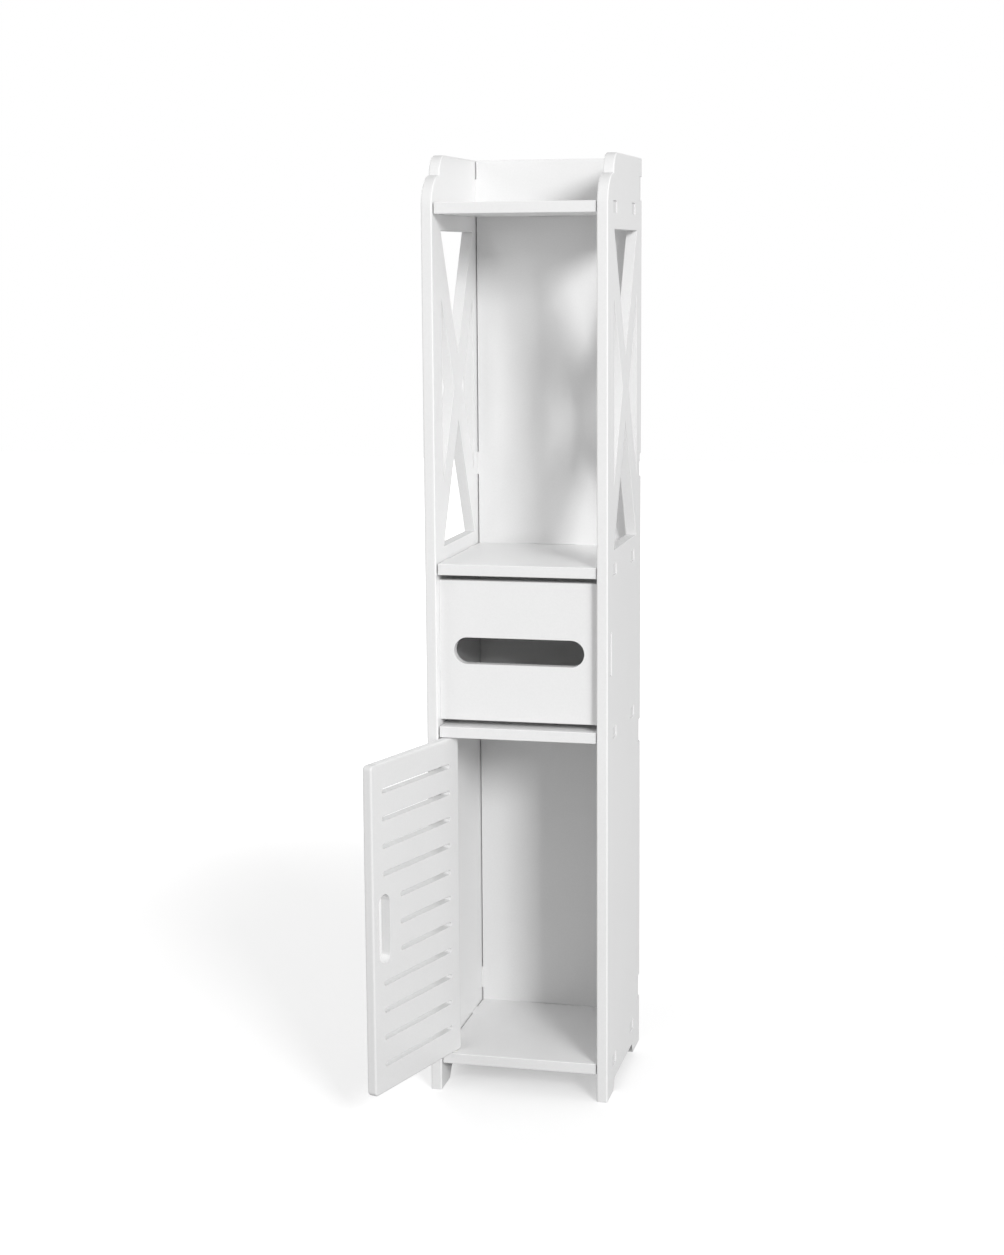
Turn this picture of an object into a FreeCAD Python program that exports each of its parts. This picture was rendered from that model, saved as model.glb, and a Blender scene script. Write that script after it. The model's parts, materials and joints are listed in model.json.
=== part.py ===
import FreeCAD, Part
import math
import os
import re
import Sketcher

# A tall, narrow bathroom cabinet of tenoned white board, with a louvred door and a tissue bay.
# Millimetres. Origin on the floor under the middle of the carcass, +Z up, the front faces -Y.
# Depths are counted back from the front edges of the side panels.

# Driving sizes
SIZES = {
    # Carcass
    "total_height": 1200,
    "total_width": 234,
    "total_depth": 240,
    "board": 14,
    "bottom_shelf_level": 35,
    "cupboard_height": 421,
    "tissue_bay_height": 195,
    "top_shelf_drop": 73,
    "shelf_recess": 4.5,
    "back_inset": 1,
    "back_level": 20,
    "edge_radius": 2,
    "shelf_edge_radius": 1,
    # Side panel outline
    "lower_lobe_radius": 40,
    "upper_lobe_radius": 25,
    "front_foot": 43.5,
    "rear_foot": 48.5,
    "foot_slope": 10.5,
    "foot_cut": 14.5,
    # Fretwork window in the side panels
    "window_front": 43.5,
    "window_rear_margin": 35,
    "window_bottom_margin": 18,
    "window_top_margin": 20,
    "brace_half": 41,
    # Tenons of the shelves and tabs of the back panel
    "tenon_width": 26,
    "front_tenon_depth": 49,
    "rear_tenon_margin": 61,
    "rear_tab_width": 60,
    "back_tab_height": 30,
    "back_tab_level": 81,
    "back_tab_drop": 39,
    "back_tab_count": 4,
    "tenon_fit": 0.15,
    "tenon_short": 1.5,
    "shelf_end_gap": 1.4,
    "back_end_gap": 1.3,
    # Door
    "door_board": 13,
    "door_side_gap": 1,
    "door_end_gap": 1,
    "door_recess": 10,
    "door_open_angle": 107,
    "door_open_gap": 0.15,
    "door_edge_radius": 2.5,
    "door_hinge_radius": 4,
    "door_corner_radius": 6,
    "louvre_height": 6.2,
    "louvre_end_margin": 35.5,
    "louvre_hinge_margin": 23,
    "louvre_free_margin": 23,
    "louvre_grip_margin": 62,
    "long_louvres": 4,
    "short_louvres": 3,
    "grip_width": 24,
    "grip_height": 88,
    "grip_margin": 13,
    # Door pins and bushes
    "pin_diameter": 5,
    "pin_in_door": 16,
    "pin_in_bush": 9,
    "pin_bevel": 0.5,
    "pin_fit": 0.02,
    "pin_running_fit": 0.05,
    "bush_diameter": 9,
    "bush_length": 10,
    "bush_flange": 12,
    "bush_flange_height": 0.8,
    "bush_fit": 0.05,
    # Door stop
    "stop_length": 40,
    "stop_width": 12,
    "stop_board": 4,
    "stop_drop": 40,
    "stop_bevel": 0.6,
    "door_stop_gap": 0.3,
    "screw_diameter": 3,
    "screw_head": 6,
    "screw_head_height": 1.7,
    "screw_length": 13,
    "screw_pitch": 24,
    "screw_fit": 0.1,
    # Tissue front
    "tissue_recess": 16,
    "tissue_board": 13,
    "tissue_side_gap": 0.15,
    "tissue_end_gap": 7.5,
    "tissue_edge_radius": 1.5,
    "tissue_tenon_height": 54,
    "slot_margin": 18.7,
    "slot_height": 34,
}

# Sizes that follow from the driving ones
DERIVED = {
    "inner_half": "total_width / 2 - board",
    "back_depth": "total_depth - back_inset - board",
    "cupboard_floor": "bottom_shelf_level + board",
    "lower_shelf_level": "cupboard_floor + cupboard_height",
    "tissue_floor": "lower_shelf_level + board",
    "middle_shelf_level": "tissue_floor + tissue_bay_height",
    "top_shelf_level": "total_height - top_shelf_drop",
    "tenon_reach": "total_width / 2 - tenon_short",
    "shelf_half": "inner_half - shelf_end_gap",
    "rear_tenon_depth": "total_depth - rear_tenon_margin",
    "back_tab_pitch": "(total_height - back_tab_level - back_tab_drop) / (back_tab_count - 1)",
    "window_rear": "total_depth - window_rear_margin",
    "window_bottom": "middle_shelf_level + board + window_bottom_margin",
    "window_top": "top_shelf_level - window_top_margin",
    "window_half_width": "(window_rear - window_front) / 2",
    "window_half_height": "(window_top - window_bottom) / 2",
    "window_mid_depth": "(window_rear + window_front) / 2",
    "window_mid_level": "(window_top + window_bottom) / 2",
    "brace_side": "brace_half * window_half_width / (window_half_height - brace_half)",
    "cupboard_middle": "(cupboard_floor + lower_shelf_level) / 2",
    "door_height": "cupboard_height - 2 * door_end_gap",
    "louvre_pitch": "(door_height - 2 * louvre_end_margin) / (2 * long_louvres + short_louvres - 1)",
    "pivot_depth": "door_recess + door_board / 2",
    "pivot_reach": "door_board / 2 + door_open_gap - pivot_depth * cos(door_open_angle * 1deg)",
    "pivot_from_side": "pivot_reach / sin(door_open_angle * 1deg)",
    "door_hinge_edge": "pivot_from_side - door_side_gap",
    "door_free_edge": "2 * inner_half - door_side_gap - pivot_from_side",
    "door_level": "cupboard_floor + door_end_gap",
    "pivot_across": "pivot_from_side - inner_half",
    "door_inner_depth": "pivot_depth + door_board / 2",
    "stop_depth": "door_inner_depth + door_stop_gap",
    "stop_level": "lower_shelf_level - stop_drop - stop_length",
    "stop_middle": "stop_level + stop_length / 2",
    "tissue_height": "tissue_bay_height - 2 * tissue_end_gap",
    "tissue_half": "inner_half - tissue_side_gap",
    "tissue_middle": "tissue_floor + tissue_bay_height / 2",
    "slot_length": "2 * (tissue_half - slot_margin)",
}

SHELF_LEVELS = {
    "top_shelf": "top_shelf_level",
    "middle_shelf": "middle_shelf_level",
    "lower_shelf": "lower_shelf_level",
    "bottom_shelf": "bottom_shelf_level",
}

TINY = 1e-6

doc = FreeCAD.newDocument("narrow_bathroom_cabinet")
sheet = doc.addObject("Spreadsheet::Sheet", "Sizes")
sub_parts = []


def fill_sheet():
    rows = [(name, str(value)) for name, value in SIZES.items()]
    rows += [(name, "=" + formula) for name, formula in DERIVED.items()]
    for row, (name, content) in enumerate(rows, start=1):
        sheet.set(f"A{row}", name)
        sheet.set(f"B{row}", content)
        sheet.setAlias(f"B{row}", name)
    doc.recompute()


# Expressions name the sizes plainly; each name is looked up in the sheet.
def bound(expression):
    return re.sub(r"[a-z_]{3,}", lambda word: "Sizes." + word.group(0), expression)


def value(expression):
    return float(sheet.evalExpression(bound(expression)))


def bind(target, **properties):
    for name, expression in properties.items():
        target.setExpression(name.replace("__", "."), bound(expression))


def place(target, across="0", depth="0", level="0"):
    bind(target, Placement__Base__x=across, Placement__Base__y=f"{depth} - total_depth / 2",
         Placement__Base__z=level)


def keep(target, label):
    target.Label = label
    sub_parts.append(target)
    return target


# Sketches and features

def new_body(label, **where):
    body = doc.addObject("PartDesign::Body", label)
    place(body, **where)
    return keep(body, label)


def new_sketch(body, name, plane, lift=None):
    sketch = body.newObject("Sketcher::SketchObject", name)
    support = next(item for item in body.Origin.OriginFeatures if item.Role == plane)
    sketch.AttachmentSupport = [(support, "")]
    sketch.MapMode = "FlatFace"
    if lift:
        bind(sketch, AttachmentOffset__Base__z=lift)
    return sketch


def fix_point(sketch, geometry, vertex, point):
    for kind, expression in zip(("DistanceX", "DistanceY"), point):
        number = sketch.addConstraint(Sketcher.Constraint(kind, geometry, vertex, value(expression)))
        sketch.setExpression(f"Constraints[{number}]", bound(expression))


def fix_radius(sketch, geometry, radius):
    number = sketch.addConstraint(Sketcher.Constraint("Radius", geometry, value(radius)))
    sketch.setExpression(f"Constraints[{number}]", bound(radius))


# Outline traced counter-clockwise; a corner with a radius starts an outward arc to the next corner.
def draw_outline(sketch, corners):
    places = [FreeCAD.Vector(value(corner[0]), value(corner[1])) for corner in corners]
    first = sketch.GeometryCount
    for index, corner in enumerate(corners):
        start = places[index]
        end = places[(index + 1) % len(corners)]
        if len(corner) == 2:
            sketch.addGeometry(Part.LineSegment(start, end))
            continue
        radius = value(corner[2])
        chord = end - start
        inward = FreeCAD.Vector(-chord.y, chord.x).normalize()
        centre = (start + end) / 2 + inward * math.sqrt(radius ** 2 - chord.Length ** 2 / 4)
        angles = [math.atan2(point.y - centre.y, point.x - centre.x) for point in (start, end)]
        circle = Part.Circle(centre, FreeCAD.Vector(0, 0, 1), radius)
        sketch.addGeometry(Part.ArcOfCircle(circle, *angles))
    for index in range(len(corners)):
        following = first + (index + 1) % len(corners)
        sketch.addConstraint(Sketcher.Constraint("Coincident", first + index, 2, following, 1))
    for index, corner in enumerate(corners):
        fix_point(sketch, first + index, 1, corner[:2])
        if len(corner) == 3:
            fix_radius(sketch, first + index, corner[2])


def draw_rectangle(sketch, left, right, low, high):
    draw_outline(sketch, [(left, low), (right, low), (right, high), (left, high)])


def draw_circle(sketch, across, along, radius):
    centre = FreeCAD.Vector(value(across), value(along))
    circle = sketch.addGeometry(Part.Circle(centre, FreeCAD.Vector(0, 0, 1), value(radius)))
    fix_point(sketch, circle, 3, (across, along))
    fix_radius(sketch, circle, radius)


# Slot with round ends: two end points of its middle line and the radius of its ends.
def draw_slot(sketch, start, end, radius):
    centres = [FreeCAD.Vector(value(point[0]), value(point[1])) for point in (start, end)]
    run = centres[1] - centres[0]
    heading = math.atan2(run.y, run.x)
    side = FreeCAD.Vector(-run.y, run.x).normalize() * value(radius)
    first = sketch.GeometryCount
    for centre, turn in zip(centres, (math.pi / 2, -math.pi / 2)):
        circle = Part.Circle(centre, FreeCAD.Vector(0, 0, 1), value(radius))
        sketch.addGeometry(Part.ArcOfCircle(circle, heading + turn, heading + turn + math.pi))
    sketch.addGeometry(Part.LineSegment(centres[0] - side, centres[1] - side))
    sketch.addGeometry(Part.LineSegment(centres[1] + side, centres[0] + side))
    joins = ((0, 2, 2, 1), (2, 2, 1, 1), (1, 2, 3, 1), (3, 2, 0, 1))
    for one, one_end, other, other_end in joins:
        sketch.addConstraint(
            Sketcher.Constraint("Tangent", first + one, one_end, first + other, other_end))
    for index, point in enumerate((start, end)):
        fix_point(sketch, first + index, 3, point)
        fix_radius(sketch, first + index, radius)


def add_pad(body, sketch, length, **settings):
    pad = body.newObject("PartDesign::Pad", sketch.Name + "_pad")
    pad.Profile = sketch
    bind(pad, Length=length)
    for name, setting in settings.items():
        setattr(pad, name, setting)
    doc.recompute()
    return pad


def add_pocket(body, sketch, length=None, **settings):
    before = body.Shape.Volume
    pocket = body.newObject("PartDesign::Pocket", sketch.Name + "_pocket")
    pocket.Profile = sketch
    if length:
        bind(pocket, Length=length)
    else:
        pocket.Type = "ThroughAll"
        pocket.Midplane = True
    for name, setting in settings.items():
        setattr(pocket, name, setting)
    doc.recompute()
    if body.Shape.Volume > before - TINY:
        raise RuntimeError(f"{pocket.Name} cuts nothing")
    return pocket


def add_pattern(body, feature, axis, count, pitch):
    pattern = body.newObject("PartDesign::LinearPattern", feature.Name + "_row")
    pattern.Originals = [feature]
    support = next(item for item in body.Origin.OriginFeatures if item.Role == axis)
    pattern.Direction = (support, [""])
    bind(pattern, Occurrences=count, Length=f"({count} - 1) * {pitch}")
    body.Tip = pattern
    doc.recompute()
    return pattern


def add_revolution(body, sketch):
    turn = body.newObject("PartDesign::Revolution", sketch.Name + "_turn")
    turn.Profile = sketch
    turn.ReferenceAxis = (sketch, ["V_Axis"])
    turn.Angle = 360
    doc.recompute()
    return turn


# Rounds or bevels the edges of the body's last feature that the test picks.
def dress_edges(body, kind, picks, **size):
    base = body.Tip
    names = [f"Edge{number}" for number, edge in enumerate(base.Shape.Edges, start=1) if picks(edge)]
    dressed = body.newObject(f"PartDesign::{kind}", f"{body.Name}_{kind}_{len(body.Group)}")
    dressed.Base = (base, names)
    bind(dressed, **size)
    doc.recompute()


def add_fillet(body, radius, picks):
    dress_edges(body, "Fillet", picks, Radius=radius)


def add_chamfer(body, size, picks):
    dress_edges(body, "Chamfer", picks, Size=size)


def near(one, other):
    return abs(one - other) < TINY


# The same piece turned over about a level plane.
def flipped(piece, label, level):
    mirror = doc.addObject("Part::Mirroring", label)
    mirror.Source = piece
    mirror.Normal = FreeCAD.Vector(0, 0, 1)
    bind(mirror, Base__z=level)
    doc.recompute()
    return mirror


# Carcass

def cut_window(body):
    depth, level = ("window_mid_depth", "window_mid_level")
    side_reach = "(window_half_height - 2 * brace_half)"
    above, below = (f"{level} + {side_reach}", f"{level} - {side_reach}")
    triangles = (
        [("window_rear", "window_top"), ("window_front", "window_top"), (depth, f"{level} + brace_half")],
        [("window_front", "window_bottom"), ("window_rear", "window_bottom"),
         (depth, f"{level} - brace_half")],
        [("window_front", above), ("window_front", below), (f"{depth} - brace_side", level)],
        [("window_rear", below), ("window_rear", above), (f"{depth} + brace_side", level)],
    )
    sketch = new_sketch(body, body.Name + "_window", "YZ_Plane")
    for triangle in triangles:
        draw_outline(sketch, triangle)
    add_pocket(body, sketch)


def cut_mortises(body):
    sketch = new_sketch(body, body.Name + "_mortises", "YZ_Plane")
    for level in SHELF_LEVELS.values():
        for depth in ("front_tenon_depth", "rear_tenon_depth"):
            draw_rectangle(sketch, f"{depth} - tenon_width / 2 - tenon_fit",
                           f"{depth} + tenon_width / 2 + tenon_fit",
                           f"{level} - tenon_fit", f"{level} + board + tenon_fit")
    draw_rectangle(sketch, "tissue_recess - tenon_fit", "tissue_recess + tissue_board + tenon_fit",
                   "tissue_middle - tissue_tenon_height / 2 - tenon_fit",
                   "tissue_middle + tissue_tenon_height / 2 + tenon_fit")
    add_pocket(body, sketch)


def cut_rear_notches(body):
    sketch = new_sketch(body, body.Name + "_notch", "YZ_Plane")
    draw_rectangle(sketch, "back_depth - tenon_fit", "total_depth + board",
                   "back_tab_level - back_tab_height / 2 - tenon_fit",
                   "back_tab_level + back_tab_height / 2 + tenon_fit")
    notch = add_pocket(body, sketch)
    add_pattern(body, notch, "Z_Axis", "back_tab_count", "back_tab_pitch")


def build_side_panel(label, across):
    body = new_body(label, across=across)
    sketch = new_sketch(body, label + "_outline", "YZ_Plane")
    step = "total_height - upper_lobe_radius"
    draw_outline(sketch, [
        ("0", "0"),
        ("front_foot", "0"),
        ("front_foot + foot_slope", "foot_cut"),
        ("total_depth - rear_foot - foot_slope", "foot_cut"),
        ("total_depth - rear_foot", "0"),
        ("total_depth", "0"),
        ("total_depth", "total_height"),
        ("lower_lobe_radius + upper_lobe_radius", "total_height", "upper_lobe_radius"),
        ("lower_lobe_radius", step, "lower_lobe_radius"),
        ("0", f"{step} - lower_lobe_radius"),
    ])
    add_pad(body, sketch, "board")
    shoulder = value(f"{step} - lower_lobe_radius")

    def on_front_or_top(edge):
        box = edge.BoundBox
        return box.XLength < TINY and (box.YMax < TINY or box.ZMin > shoulder - TINY)

    add_fillet(body, "edge_radius", on_front_or_top)
    cut_window(body)
    cut_mortises(body)
    cut_rear_notches(body)
    return body


def build_shelf(label, level):
    body = new_body(label, level=level)
    sketch = new_sketch(body, label + "_outline", "XY_Plane")

    def tenon(depth, side, order):
        low, high = (f"{depth} - tenon_width / 2", f"{depth} + tenon_width / 2")
        steps = [(f"{side} shelf_half", low), (f"{side} tenon_reach", low),
                 (f"{side} tenon_reach", high), (f"{side} shelf_half", high)]
        return steps[::order]

    draw_outline(sketch, [
        ("-shelf_half", "shelf_recess"),
        ("shelf_half", "shelf_recess"),
        *tenon("front_tenon_depth", "0 +", 1),
        *tenon("rear_tenon_depth", "0 +", 1),
        ("shelf_half", "back_depth"),
        ("rear_tab_width / 2", "back_depth"),
        ("rear_tab_width / 2", "back_depth + board - tenon_short"),
        ("-rear_tab_width / 2", "back_depth + board - tenon_short"),
        ("-rear_tab_width / 2", "back_depth"),
        ("-shelf_half", "back_depth"),
        *tenon("rear_tenon_depth", "0 -", -1),
        *tenon("front_tenon_depth", "0 -", -1),
    ])
    add_pad(body, sketch, "board")
    front = value("shelf_recess")
    add_fillet(body, "shelf_edge_radius",
               lambda edge: near(edge.BoundBox.YMax, front) and edge.BoundBox.ZLength < TINY)
    return body


def drill(body, name, across, along, radius, length, lift=None, onward=False, plane="XY_Plane"):
    sketch = new_sketch(body, name, plane, lift)
    draw_circle(sketch, across, along, radius)
    add_pocket(body, sketch, length, Reversed=onward)


def build_shelves():
    bodies = {label: build_shelf(label, level) for label, level in SHELF_LEVELS.items()}
    bush_hole = ("pivot_across", "pivot_depth", "bush_diameter / 2 + bush_fit",
                 "bush_length + bush_fit")
    drill(bodies["bottom_shelf"], "lower_bush_hole", *bush_hole, lift="board")
    drill(bodies["lower_shelf"], "upper_bush_hole", *bush_hole, onward=True)


def build_back_panel():
    body = new_body("back_panel", depth="back_depth")
    sketch = new_sketch(body, "back_outline", "XZ_Plane")
    half = "(inner_half - back_end_gap)"
    draw_rectangle(sketch, f"-{half}", half, "back_level", "total_height")
    add_pad(body, sketch, "board", Reversed=True)
    tab = new_sketch(body, "back_tab", "XZ_Plane")
    draw_rectangle(tab, "-tenon_reach", "tenon_reach", "back_tab_level - back_tab_height / 2",
                   "back_tab_level + back_tab_height / 2")
    tabs = add_pad(body, tab, "board", Reversed=True)
    add_pattern(body, tabs, "Z_Axis", "back_tab_count", "back_tab_pitch")
    mortises = new_sketch(body, "back_mortises", "XZ_Plane")
    for level in SHELF_LEVELS.values():
        draw_rectangle(mortises, "-rear_tab_width / 2 - tenon_fit", "rear_tab_width / 2 + tenon_fit",
                       f"{level} - tenon_fit", f"{level} + board + tenon_fit")
    add_pocket(body, mortises)


def build_tissue_front():
    body = new_body("tissue_front", depth="tissue_recess", level="tissue_middle")
    sketch = new_sketch(body, "tissue_outline", "XZ_Plane")
    draw_rectangle(sketch, "-tissue_half", "tissue_half", "-tissue_height / 2", "tissue_height / 2")
    add_pad(body, sketch, "tissue_board", Reversed=True)
    add_fillet(body, "tissue_edge_radius",
               lambda edge: edge.BoundBox.YMax < TINY and edge.BoundBox.ZLength < TINY)
    tenons = new_sketch(body, "tissue_tenons", "XZ_Plane")
    inner = "(tissue_half - slot_margin / 2)"
    low, high = ("-tissue_tenon_height / 2", "tissue_tenon_height / 2")
    draw_rectangle(tenons, inner, "tenon_reach", low, high)
    draw_rectangle(tenons, "-tenon_reach", f"-{inner}", low, high)
    add_pad(body, tenons, "tissue_board", Reversed=True)
    slot = new_sketch(body, "tissue_slot", "XZ_Plane")
    slot_half = "(slot_length - slot_height) / 2"
    draw_slot(slot, (f"-{slot_half}", "0"), (slot_half, "0"), "slot_height / 2")
    add_pocket(body, slot)


def build_bushes():
    body = new_body("lower_pin_bush", across="pivot_across", depth="pivot_depth", level="cupboard_floor")
    section = new_sketch(body, "bush_section", "XZ_Plane")
    bore = "pin_diameter / 2 + pin_running_fit"
    draw_outline(section, [
        (bore, "-bush_length"),
        ("bush_diameter / 2", "-bush_length"),
        ("bush_diameter / 2", "0"),
        ("bush_flange / 2", "0"),
        ("bush_flange / 2", "bush_flange_height"),
        (bore, "bush_flange_height"),
    ])
    add_revolution(body, section)
    keep(flipped(body, "upper_bush", "cupboard_middle"), "upper_pin_bush")


# Strip on the right side panel that the shut door meets, and the two screws that hold it

def build_door_stop(side_panel):
    body = new_body("door_stop_strip", across="inner_half - stop_board", depth="stop_depth",
                    level="stop_middle")
    sketch = new_sketch(body, "stop_outline", "YZ_Plane")
    draw_rectangle(sketch, "0", "stop_width", "-stop_length / 2", "stop_length / 2")
    add_pad(body, sketch, "stop_board")
    add_chamfer(body, "stop_bevel", lambda edge: edge.BoundBox.XMax < TINY)
    holes = new_sketch(body, "stop_holes", "YZ_Plane")
    for side in ("-", "+"):
        draw_circle(holes, "stop_width / 2", f"0 {side} screw_pitch / 2", "screw_diameter / 2 + screw_fit")
    hole = body.newObject("PartDesign::Hole", "stop_screw_holes")
    hole.Profile = holes
    doc.recompute()
    hole.DepthType = "ThroughAll"
    hole.Threaded = False
    hole.HoleCutType = "Countersink"
    hole.HoleCutCustomValues = True
    hole.HoleCutCountersinkAngle = math.degrees(
        2 * math.atan2(value("screw_head - screw_diameter") / 2, value("screw_head_height")))
    bind(hole, Diameter="screw_diameter + 2 * screw_fit", HoleCutDiameter="screw_head + 2 * screw_fit")
    hole.Reversed = True
    doc.recompute()
    for side, name in (("-", "lower"), ("+", "upper")):
        drill(side_panel, f"stop_{name}_pilot", "stop_depth + stop_width / 2",
              f"stop_middle {side} screw_pitch / 2", "screw_diameter / 2 + screw_fit",
              "screw_length - stop_board + screw_fit", onward=True, plane="YZ_Plane")


def build_stop_screws():
    body = doc.addObject("PartDesign::Body", "stop_screw")
    body.Placement.Rotation = FreeCAD.Rotation(FreeCAD.Vector(0, 1, 0), 90)
    place(body, across="inner_half - stop_board", depth="stop_depth + stop_width / 2",
          level="stop_middle - screw_pitch / 2")
    section = new_sketch(body, "screw_section", "XZ_Plane")
    draw_outline(section, [
        ("0", "0"),
        ("screw_head / 2", "0"),
        ("screw_diameter / 2", "screw_head_height"),
        ("screw_diameter / 2", "screw_length"),
        ("0", "screw_length"),
    ])
    add_revolution(body, section)
    pair = doc.addObject("Part::Compound", "stop_screw_pair")
    pair.Links = [body, flipped(body, "upper_stop_screw", "stop_middle")]
    doc.recompute()
    keep(pair, "door_stop_screws")


# Door, drawn shut about its pivot axis and then swung open

def cut_louvres(body):
    middle = "door_height / 2"
    hinge_end = "louvre_hinge_margin - door_hinge_edge + louvre_height / 2"
    long_end = "door_free_edge - louvre_free_margin - louvre_height / 2"
    short_end = "door_free_edge - louvre_grip_margin - louvre_height / 2"
    first_short = f"{middle} - (short_louvres - 1) / 2 * louvre_pitch"
    rows = (
        ("long_lower", long_end, f"{first_short} - long_louvres * louvre_pitch", "long_louvres"),
        ("short", short_end, first_short, "short_louvres"),
        ("long_upper", long_end, f"{first_short} + short_louvres * louvre_pitch", "long_louvres"),
    )
    for name, free_end, level, count in rows:
        sketch = new_sketch(body, f"{name}_louvre", "XZ_Plane")
        draw_slot(sketch, (hinge_end, level), (free_end, level), "louvre_height / 2")
        add_pattern(body, add_pocket(body, sketch), "Z_Axis", count, "louvre_pitch")


def build_door():
    body = new_body("door_panel", across="pivot_across", depth="pivot_depth", level="door_level")
    bind(body, Placement__Rotation__Angle="-door_open_angle")
    sketch = new_sketch(body, "door_outline", "XZ_Plane")
    corner = "door_corner_radius"
    draw_outline(sketch, [
        ("-door_hinge_edge", "0"),
        (f"door_free_edge - {corner}", "0", corner),
        ("door_free_edge", corner),
        ("door_free_edge", f"door_height - {corner}", corner),
        (f"door_free_edge - {corner}", "door_height"),
        ("-door_hinge_edge", "door_height"),
    ])
    add_pad(body, sketch, "door_board", Midplane=True)
    hinge_edge = value("-door_hinge_edge")
    add_fillet(body, "door_hinge_radius",
               lambda edge: near(edge.BoundBox.XMax, hinge_edge) and edge.BoundBox.YLength < TINY)
    past_hinge = hinge_edge + value("door_hinge_radius")
    add_fillet(body, "door_edge_radius",
               lambda edge: edge.BoundBox.YLength < TINY and edge.BoundBox.XMin > past_hinge
               and edge.BoundBox.XMax > past_hinge + value("door_edge_radius"))
    cut_louvres(body)
    grip = new_sketch(body, "door_grip", "XZ_Plane")
    grip_across = "door_free_edge - grip_margin - grip_width / 2"
    grip_half = "(grip_height - grip_width) / 2"
    draw_slot(grip, (grip_across, f"door_height / 2 - {grip_half}"),
              (grip_across, f"door_height / 2 + {grip_half}"), "grip_width / 2")
    add_pocket(body, grip)
    pin_hole = ("0", "0", "pin_diameter / 2 + pin_fit", "pin_in_door + pin_fit")
    drill(body, "lower_pin_hole", *pin_hole, onward=True)
    drill(body, "upper_pin_hole", *pin_hole, lift="door_height")


def build_pins():
    body = new_body("lower_pivot_pin", across="pivot_across", depth="pivot_depth",
                    level="cupboard_floor - pin_in_bush")
    section = new_sketch(body, "pin_section", "XZ_Plane")
    length = "pin_in_bush + door_end_gap + pin_in_door"
    draw_outline(section, [
        ("0", "0"),
        ("pin_diameter / 2 - pin_bevel", "0"),
        ("pin_diameter / 2", "pin_bevel"),
        ("pin_diameter / 2", length),
        ("0", length),
    ])
    add_revolution(body, section)
    keep(flipped(body, "upper_pin", "cupboard_middle"), "upper_pivot_pin")


def check_document():
    failed = [item.Name for item in doc.Objects if {"Invalid", "Error"} & set(item.State)]
    failed += [item.Label for item in sub_parts if item.Shape.isNull() or not item.Shape.isValid()]
    if failed:
        raise RuntimeError(f"failed objects: {failed}")


fill_sheet()
build_side_panel("left_side_panel", "-total_width / 2")
right_side_panel = build_side_panel("right_side_panel", "inner_half")
build_back_panel()
build_shelves()
build_tissue_front()
build_bushes()
build_door_stop(right_side_panel)
build_stop_screws()
build_door()
build_pins()
doc.recompute()
check_document()

os.makedirs("parts", exist_ok=True)
for sub_part in sub_parts:
    sub_part.Shape.exportStep(f"parts/{sub_part.Label}.step")
    box = sub_part.Shape.BoundBox
    print(f"{sub_part.Label}: {len(sub_part.Shape.Solids)} solids, X {box.XMin:.1f} to {box.XMax:.1f}, "
          f"Y {box.YMin:.1f} to {box.YMax:.1f}, Z {box.ZMin:.1f} to {box.ZMax:.1f}")
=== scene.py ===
import json
import math

import bmesh
import bpy
from mathutils import Matrix, Vector


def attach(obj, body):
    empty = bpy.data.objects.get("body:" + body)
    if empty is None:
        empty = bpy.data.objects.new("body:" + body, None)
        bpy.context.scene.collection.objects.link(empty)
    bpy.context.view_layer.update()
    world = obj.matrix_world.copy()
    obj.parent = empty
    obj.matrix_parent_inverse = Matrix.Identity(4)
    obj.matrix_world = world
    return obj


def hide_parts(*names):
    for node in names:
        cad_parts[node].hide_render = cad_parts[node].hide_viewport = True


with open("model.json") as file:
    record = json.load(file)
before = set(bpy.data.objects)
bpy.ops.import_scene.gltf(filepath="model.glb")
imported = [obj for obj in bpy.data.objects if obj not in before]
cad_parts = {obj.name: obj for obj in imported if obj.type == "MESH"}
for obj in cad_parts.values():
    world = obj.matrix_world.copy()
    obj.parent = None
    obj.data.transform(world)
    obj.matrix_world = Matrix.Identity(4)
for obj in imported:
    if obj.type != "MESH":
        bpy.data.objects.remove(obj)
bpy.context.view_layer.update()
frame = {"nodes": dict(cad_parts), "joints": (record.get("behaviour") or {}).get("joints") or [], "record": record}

# Looks of a tall, narrow bathroom cabinet of tenoned white foam board. Metres, in the part's own frame.

nodes = frame["nodes"]
scene = bpy.context.scene
MM = 0.001
WHITE = (1, 1, 1, 1)


def grey(level):
    return (level, level, level, 1)


# Camera, solved from the straight edges of the cabinet in the photograph
PHOTO_LONG_SIDE = 1255
FOCAL_PIXELS = 2232.5
SENSOR = 36.0
CAMERA_PLACE = Vector((618.45, -2810.03, 1070.74)) * MM
CAMERA_YAW = math.radians(13.305)
CAMERA_PITCH = math.radians(9.353)
CAMERA_ROLL = math.radians(-0.401)

# Softboxes: name, place, width, height and power in watts. All of them aim at one point of the cabinet.
LAMP_TARGET = Vector((0.0, 0.0, 0.7))
SOFTBOXES = (
    ("key_softbox", Vector((4.38, -6.69, 3.6)), 1.5, 2.0, 380.0),
    ("right_softbox", Vector((5.45, -5.55, 4.3)), 1.5, 2.0, 112.0),
    ("side_softbox", Vector((2.4, -0.5, 0.2)), 1.2, 1.2, 9.5),
    ("left_softbox", Vector((-3.0, -2.5, 1.5)), 2.0, 2.0, 28.0),
    ("rear_softbox", Vector((-2.6, 3.6, 2.0)), 2.0, 2.0, 45.0),
)
SURROUND_LIGHT = 0.535
SURROUND_SEEN = 1.0

# Floor. Its glow is for the camera alone, and it gives back less light than the camera sees.
FLOOR_SIZE = 18.0
FLOOR_SEEN = grey(0.62)
FLOOR_BOUNCE = grey(0.42)
FLOOR_ROUGHNESS = 0.9
FLOOR_NEAR_AND_FAR = (0.9, 2.6)
FLOOR_GLOW = (0.44, 1.0)

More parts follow.
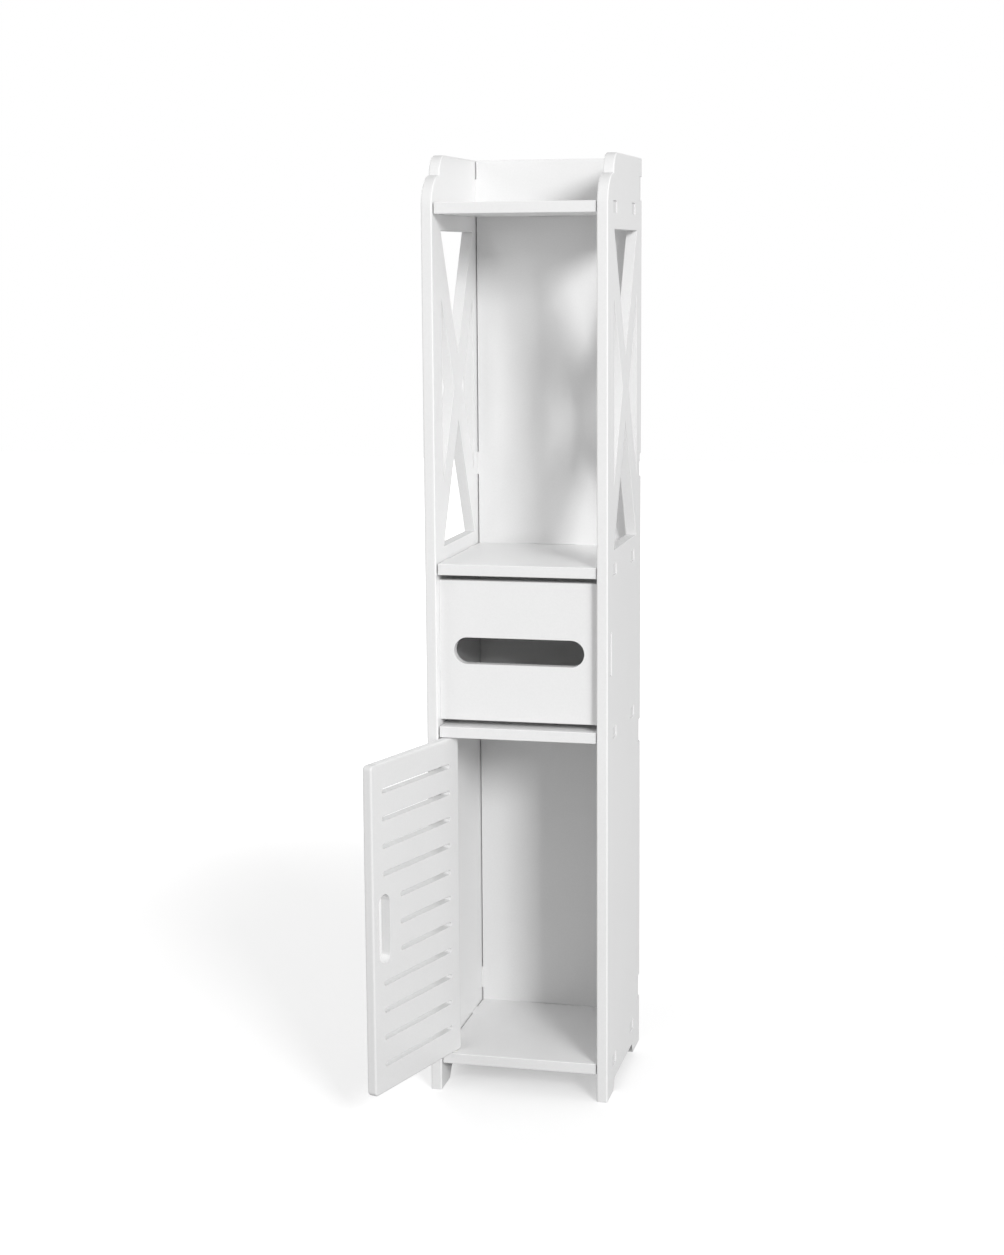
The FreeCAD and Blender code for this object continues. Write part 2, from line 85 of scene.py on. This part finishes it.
# Board tones. Every board is the same white foam board. The face tones set piece by piece and the edge tones below
# are painted light and shade, fitted to how light falls on each piece.
SIDE_FACE = grey(0.86)
BACK_FACE = grey(0.78)
TISSUE_FACE = grey(0.755)
DOOR_FACE = grey(0.73)
FRONT_EDGE = grey(0.73)
INNER_EDGE = grey(0.74)
DOOR_EDGE = grey(0.71)
LOUVRE_EDGE = grey(0.81)

# Edges in front of this line along Y have the front edge's tone, and the others the inner edge's. This split is
# painted shade and light: the front edges are painted darker, and the inner edges of windows, mortises and louvres
# take their own painted tone. On the door, the line lies further back at the height of the finger slot.
FRONT_LINE = -115 * MM
DOOR_FRONT_LINE = -276 * MM
FRONT_BLEND = 1.5 * MM
GRIP_REACH = 36 * MM
GRIP_FOOT = (222 * MM, 224 * MM)
GRIP_HEAD = (297 * MM, 295 * MM)

# Board texture. Noise scales are per metre, and only the middle of a noise's range is used.
SKIN_TO_EDGE = (0.75, 0.35)
NOISE_RANGE = (0.3, 0.7)
CLOUD_SCALE = 7.0
CLOUD_TONE = (0.985, 1.0)
SPECKLE_SCALE = 420.0
SPECKLE_TONE = (-0.012, 0.012)
PEEL_SCALE = 900.0
PEEL_HEIGHT = 0.35
CUTTER_SCALE = 1400.0
CUTTER_HEIGHT = 0.65
SKIN_ROUGHNESS = (0.31, 0.41)
EDGE_ROUGHNESS = 0.2
BOARD_BUMP = 0.03 * MM
FINE_DETAIL = 2.0
RICH_DETAIL = 3.0
BUMP_STRENGTH = 0.5

# Finishes of the hidden fittings
NYLON = {
    "tones": ((0.70, 0.69, 0.66, 1), (0.78, 0.77, 0.74, 1)),
    "roughness": (0.38, 0.5),
    "metallic": 0.0,
    "mottle_scale": 300.0,
    "grain_scale": 1500.0,
    "grain_depth": 0.02 * MM,
}
STEEL = {
    "tones": ((0.55, 0.55, 0.56, 1), (0.68, 0.68, 0.69, 1)),
    "roughness": (0.25, 0.4),
    "metallic": 1.0,
    "mottle_scale": 700.0,
    "grain_scale": 2500.0,
    "grain_depth": 0.01 * MM,
}

# Shape of the eased edges
EDGE_EASE = 0.4 * MM
EASE_STEPS = 2
WELD_DISTANCE = 0.01 * MM
SLIVER_AREA = MM ** 2
FLAT_ANGLE = math.radians(0.5)
CREASE_ANGLE = math.radians(50)
TIGHT_END = 102 * MM

SHELVES = ("top_shelf", "middle_shelf", "lower_shelf", "bottom_shelf")
NYLON_PIECES = ("lower_pin_bush", "upper_pin_bush", "door_stop_strip")
STEEL_PIECES = ("lower_pivot_pin", "upper_pivot_pin", "door_stop_screws")


# Node helpers

def new_group(name, inputs, outputs):
    tree = bpy.data.node_groups.new(name, "ShaderNodeTree")
    for socket, kind, default in inputs:
        made = tree.interface.new_socket(socket, in_out="INPUT", socket_type=kind)
        made.default_value = default
    for socket, kind in outputs:
        tree.interface.new_socket(socket, in_out="OUTPUT", socket_type=kind)
    return tree, tree.nodes.new("NodeGroupInput"), tree.nodes.new("NodeGroupOutput")


# Adds a node. Its sockets take other nodes' outputs or plain values.
def add_node(tree, kind, sockets=None, **settings):
    node = tree.nodes.new(kind)
    for name, setting in settings.items():
        setattr(node, name, setting)
    for socket, source in (sockets or {}).items():
        if hasattr(source, "links"):
            tree.links.new(source, node.inputs[socket])
        else:
            node.inputs[socket].default_value = source
    return node


def math_node(tree, operation, *sources):
    return add_node(tree, "ShaderNodeMath", dict(enumerate(sources)), operation=operation).outputs[0]


def dot_product(tree, first, second):
    sockets = {0: first, 1: second}
    return add_node(tree, "ShaderNodeVectorMath", sockets, operation="DOT_PRODUCT").outputs["Value"]


def mix_colours(tree, factor, first, second):
    sockets = {"Factor": factor, "A": first, "B": second}
    return add_node(tree, "ShaderNodeMix", sockets, data_type="RGBA").outputs["Result"]


def ramp(tree, source, low, high, low_out=0.0, high_out=1.0, interpolation="LINEAR"):
    sockets = {"Value": source, "From Min": low, "From Max": high, "To Min": low_out, "To Max": high_out}
    return add_node(tree, "ShaderNodeMapRange", sockets, interpolation_type=interpolation).outputs["Result"]


def noise(tree, coordinates, scale, detail=FINE_DETAIL):
    sockets = {"Vector": coordinates, "Scale": scale, "Detail": detail}
    return add_node(tree, "ShaderNodeTexNoise", sockets).outputs["Fac"]


def new_material(name):
    material = bpy.data.materials.new(name)
    material.use_nodes = True
    tree = material.node_tree
    return material, tree, tree.nodes["Principled BSDF"]


def bump_into(tree, shader, height, depth):
    bump = add_node(tree, "ShaderNodeBump", {"Strength": BUMP_STRENGTH, "Distance": depth, "Height": height})
    tree.links.new(bump.outputs["Normal"], shader.inputs["Normal"])


# Foam board: smooth skins with a faint rolled texture, and milled edges with fine cutter lines. The tones of
# skins, front edges and inner edges are painted light and shade.
def make_board_texture_and_painted_shade():
    tree, entry, leave = new_group(
        "board_texture_and_painted_shade",
        [("Skin Colour", "NodeSocketColor", SIDE_FACE),
         ("Front Edge Colour", "NodeSocketColor", FRONT_EDGE),
         ("Inner Edge Colour", "NodeSocketColor", INNER_EDGE),
         ("Thickness Axis", "NodeSocketVector", (0, 0, 1)),
         ("Front Line", "NodeSocketFloat", FRONT_LINE),
         ("Grip Reach", "NodeSocketFloat", 0.0)],
        [("Colour", "NodeSocketColor"), ("Roughness", "NodeSocketFloat"), ("Height", "NodeSocketFloat")])
    given = entry.outputs
    texture = add_node(tree, "ShaderNodeTexCoord").outputs
    place = texture["Object"]

    facing = math_node(tree, "ABSOLUTE", dot_product(tree, texture["Normal"], given["Thickness Axis"]))
    edge = ramp(tree, facing, *SKIN_TO_EDGE, interpolation="SMOOTHSTEP")
    cloud = noise(tree, place, CLOUD_SCALE, RICH_DETAIL)
    speckle = noise(tree, place, SPECKLE_SCALE)

    # Painted shade and light on the milled edges: in front of the front line they take the darker front tone,
    # behind it the inner tone, and the finger slot's band moves the line back.
    point = add_node(tree, "ShaderNodeSeparateXYZ", {"Vector": place}).outputs
    grip = math_node(tree, "MULTIPLY", ramp(tree, point["Z"], *GRIP_FOOT), ramp(tree, point["Z"], *GRIP_HEAD))
    grip_reach = math_node(tree, "MULTIPLY", grip, given["Grip Reach"])
    front_line = math_node(tree, "ADD", given["Front Line"], grip_reach)
    behind = math_node(tree, "SUBTRACT", point["Y"], front_line)
    inner = ramp(tree, behind, -FRONT_BLEND, FRONT_BLEND)
    painted_edge_shade = mix_colours(tree, inner, given["Front Edge Colour"], given["Inner Edge Colour"])
    base = mix_colours(tree, edge, given["Skin Colour"], painted_edge_shade)
    tone = math_node(tree, "ADD", ramp(tree, cloud, *NOISE_RANGE, *CLOUD_TONE),
                     ramp(tree, speckle, *NOISE_RANGE, *SPECKLE_TONE))
    shade = add_node(tree, "ShaderNodeVectorMath", {0: base, "Scale": tone}, operation="SCALE")
    tree.links.new(shade.outputs["Vector"], leave.inputs["Colour"])

    rough = math_node(tree, "ADD", ramp(tree, speckle, *NOISE_RANGE, *SKIN_ROUGHNESS),
                      math_node(tree, "MULTIPLY", edge, EDGE_ROUGHNESS))
    tree.links.new(rough, leave.inputs["Roughness"])

    along = dot_product(tree, place, given["Thickness Axis"])
    spread = add_node(tree, "ShaderNodeCombineXYZ", {"X": along}).outputs["Vector"]
    cutter = math_node(tree, "MULTIPLY", noise(tree, spread, CUTTER_SCALE, RICH_DETAIL), edge)
    height = math_node(tree, "ADD", math_node(tree, "MULTIPLY", noise(tree, place, PEEL_SCALE), PEEL_HEIGHT),
                       math_node(tree, "MULTIPLY", cutter, CUTTER_HEIGHT))
    tree.links.new(height, leave.inputs["Height"])
    return tree


def board_material(name, texture_and_painted_shade, thickness_axis, skin, front_edge=FRONT_EDGE, inner_edge=INNER_EDGE,
                   front_line=FRONT_LINE, grip_reach=0.0):
    material, tree, shader = new_material(name)
    group = add_node(tree, "ShaderNodeGroup", node_tree=texture_and_painted_shade)
    group.inputs["Skin Colour"].default_value = skin
    group.inputs["Front Edge Colour"].default_value = front_edge
    group.inputs["Inner Edge Colour"].default_value = inner_edge
    group.inputs["Thickness Axis"].default_value = thickness_axis
    group.inputs["Front Line"].default_value = front_line
    group.inputs["Grip Reach"].default_value = grip_reach
    tree.links.new(group.outputs["Colour"], shader.inputs["Base Color"])
    tree.links.new(group.outputs["Roughness"], shader.inputs["Roughness"])
    bump_into(tree, shader, group.outputs["Height"], BOARD_BUMP)
    return material


# Nylon or plated steel: mottled in two tones, with a fine grain
def fitting_material(name, tones, roughness, metallic, mottle_scale, grain_scale, grain_depth):
    material, tree, shader = new_material(name)
    place = add_node(tree, "ShaderNodeTexCoord").outputs["Object"]
    mottle = noise(tree, place, mottle_scale, RICH_DETAIL)
    tree.links.new(mix_colours(tree, mottle, *tones), shader.inputs["Base Color"])
    tree.links.new(ramp(tree, mottle, *NOISE_RANGE, *roughness), shader.inputs["Roughness"])
    shader.inputs["Metallic"].default_value = metallic
    bump_into(tree, shader, noise(tree, place, grain_scale), grain_depth)
    return material


# Boards and fittings

def body_of(node_name):
    bodies = frame["record"]["behaviour"]["bodies"]
    return next(body for body, members in bodies.items() if node_name in members)


# Marks the outward edges that are eased. The ends of the tissue front stay sharp, because they fit tightly.
def mark_eased_edges(board, tight_ends):
    shape = bmesh.new()
    shape.from_mesh(board.data)
    marks = shape.edges.layers.float.new("bevel_weight_edge")
    for edge in shape.edges:
        if len(edge.link_faces) != 2 or edge.calc_face_angle_signed() < CREASE_ANGLE:
            continue
        if min(face.calc_area() for face in edge.link_faces) < SLIVER_AREA:
            continue
        if tight_ends and min(abs(corner.co.x) for corner in edge.verts) > TIGHT_END:
            continue
        edge[marks] = 1.0
    shape.to_mesh(board.data)
    shape.free()


# The board as it leaves the workshop: its faces joined and every sharp edge eased, so it catches the light
def ease_board(node_name):
    node = nodes[node_name]
    bpy.ops.object.select_all(action="DESELECT")
    board = node.copy()
    board.data = node.data.copy()
    board.name = node_name + "_eased"
    for key in [key for key in board.keys() if key.startswith("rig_")]:
        del board[key]
    board.parent = None
    scene.collection.objects.link(board)
    board.select_set(True)
    bpy.context.view_layer.objects.active = board
    bpy.ops.mesh.customdata_custom_splitnormals_clear()
    bpy.ops.object.mode_set(mode="EDIT")
    bpy.ops.mesh.select_all(action="SELECT")
    bpy.ops.mesh.remove_doubles(threshold=WELD_DISTANCE)
    bpy.ops.mesh.dissolve_limited(angle_limit=FLAT_ANGLE)
    bpy.ops.object.mode_set(mode="OBJECT")
    mark_eased_edges(board, node_name == "tissue_front")
    bevel = board.modifiers.new("eased_edges", "BEVEL")
    bevel.width = EDGE_EASE
    bevel.segments = EASE_STEPS
    bevel.limit_method = "WEIGHT"
    bevel.use_clamp_overlap = False
    bevel.loop_slide = False
    bpy.ops.object.modifier_apply(modifier=bevel.name)
    bpy.ops.object.shade_smooth_by_angle(angle=CREASE_ANGLE)
    weights = board.modifiers.new("flat_faces", "WEIGHTED_NORMAL")
    weights.keep_sharp = True
    bpy.ops.object.modifier_apply(modifier=weights.name)
    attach(board, body_of(node_name))
    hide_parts(node_name)
    return board


def dress_cabinet():
    texture_and_painted_shade = make_board_texture_and_painted_shade()
    open_angle = math.radians(frame["joints"][0]["range_deg"][1])
    door_axis = (math.sin(open_angle), math.cos(open_angle), 0)
    # Each board's skin and edge tones, the door's with its louvre edges, are painted light and shade on one white
    # foam board.
    door = board_material("door_board", texture_and_painted_shade, door_axis, DOOR_FACE, DOOR_EDGE, LOUVRE_EDGE,
                          DOOR_FRONT_LINE, GRIP_REACH)
    boards = (
        (("left_side_panel",), board_material("left_board", texture_and_painted_shade, (1, 0, 0), SIDE_FACE)),
        (("right_side_panel",), board_material("right_board", texture_and_painted_shade, (1, 0, 0), SIDE_FACE)),
        (SHELVES, board_material("shelf_board", texture_and_painted_shade, (0, 0, 1), SIDE_FACE)),
        (("back_panel",), board_material("back_board", texture_and_painted_shade, (0, 1, 0), BACK_FACE)),
        (("tissue_front",), board_material("tissue_board", texture_and_painted_shade, (0, 1, 0), TISSUE_FACE)),
        (("door_panel",), door),
    )
    for names, material in boards:
        for name in names:
            ease_board(name).material_slots[0].material = material

    fittings = (
        (NYLON_PIECES, fitting_material("natural_nylon", **NYLON)),
        (STEEL_PIECES, fitting_material("zinc_plated_steel", **STEEL)),
    )
    for names, material in fittings:
        for name in names:
            nodes[name].material_slots[0].material = material


# Studio

def lay_floor():
    bpy.ops.object.select_all(action="DESELECT")
    bpy.ops.mesh.primitive_plane_add(size=FLOOR_SIZE)
    floor = bpy.context.object
    floor.name = "studio_floor"
    material, tree, shader = new_material("pale_floor")
    shader.inputs["Roughness"].default_value = FLOOR_ROUGHNESS
    shader.inputs["Emission Color"].default_value = WHITE
    camera_ray = add_node(tree, "ShaderNodeLightPath").outputs["Is Camera Ray"]
    tree.links.new(mix_colours(tree, camera_ray, FLOOR_BOUNCE, FLOOR_SEEN), shader.inputs["Base Color"])
    place = add_node(tree, "ShaderNodeTexCoord").outputs["Object"]
    away = add_node(tree, "ShaderNodeVectorMath", {0: place}, operation="LENGTH").outputs["Value"]
    fade = ramp(tree, away, *FLOOR_NEAR_AND_FAR, *FLOOR_GLOW, interpolation="SMOOTHSTEP")
    tree.links.new(math_node(tree, "MULTIPLY", camera_ray, fade), shader.inputs["Emission Strength"])
    floor.data.materials.append(material)


def hang_softbox(name, place, width, height, power):
    bpy.ops.object.light_add(type="AREA", location=place)
    lamp = bpy.context.object
    lamp.name = name
    lamp.data.shape = "RECTANGLE"
    lamp.data.size = width
    lamp.data.size_y = height
    lamp.data.energy = power
    lamp.rotation_euler = (LAMP_TARGET - place).to_track_quat("-Z", "Y").to_euler()


def light_studio():
    world = bpy.data.worlds.new("studio")
    world.use_nodes = True
    tree = world.node_tree
    background = tree.nodes["Background"]
    background.inputs["Color"].default_value = WHITE
    ray = add_node(tree, "ShaderNodeLightPath").outputs
    seen = math_node(tree, "MAXIMUM", ray["Is Camera Ray"], ray["Is Transmission Ray"])
    strength = ramp(tree, seen, 0.0, 1.0, SURROUND_LIGHT, SURROUND_SEEN)
    tree.links.new(strength, background.inputs["Strength"])
    scene.world = world
    for softbox in SOFTBOXES:
        hang_softbox(*softbox)


def set_camera():
    right = Vector((math.cos(CAMERA_YAW), math.sin(CAMERA_YAW), 0))
    level = Vector((-math.sin(CAMERA_YAW), math.cos(CAMERA_YAW), 0))
    upright = Vector((0, 0, 1))
    ahead = level * math.cos(CAMERA_PITCH) - upright * math.sin(CAMERA_PITCH)
    up = upright * math.cos(CAMERA_PITCH) + level * math.sin(CAMERA_PITCH)
    rolled_right = right * math.cos(CAMERA_ROLL) + up * math.sin(CAMERA_ROLL)
    rolled_up = up * math.cos(CAMERA_ROLL) - right * math.sin(CAMERA_ROLL)
    turn = Matrix((rolled_right, rolled_up, -ahead)).transposed()
    bpy.ops.object.camera_add()
    camera = bpy.context.object
    camera.matrix_world = Matrix.Translation(CAMERA_PLACE) @ turn.to_4x4()
    camera.data.sensor_width = SENSOR
    camera.data.lens = FOCAL_PIXELS / PHOTO_LONG_SIDE * SENSOR
    scene.camera = camera


dress_cabinet()
lay_floor()
light_studio()
set_camera()
scene.view_settings.view_transform = "Standard"

bpy.context.view_layer.update()
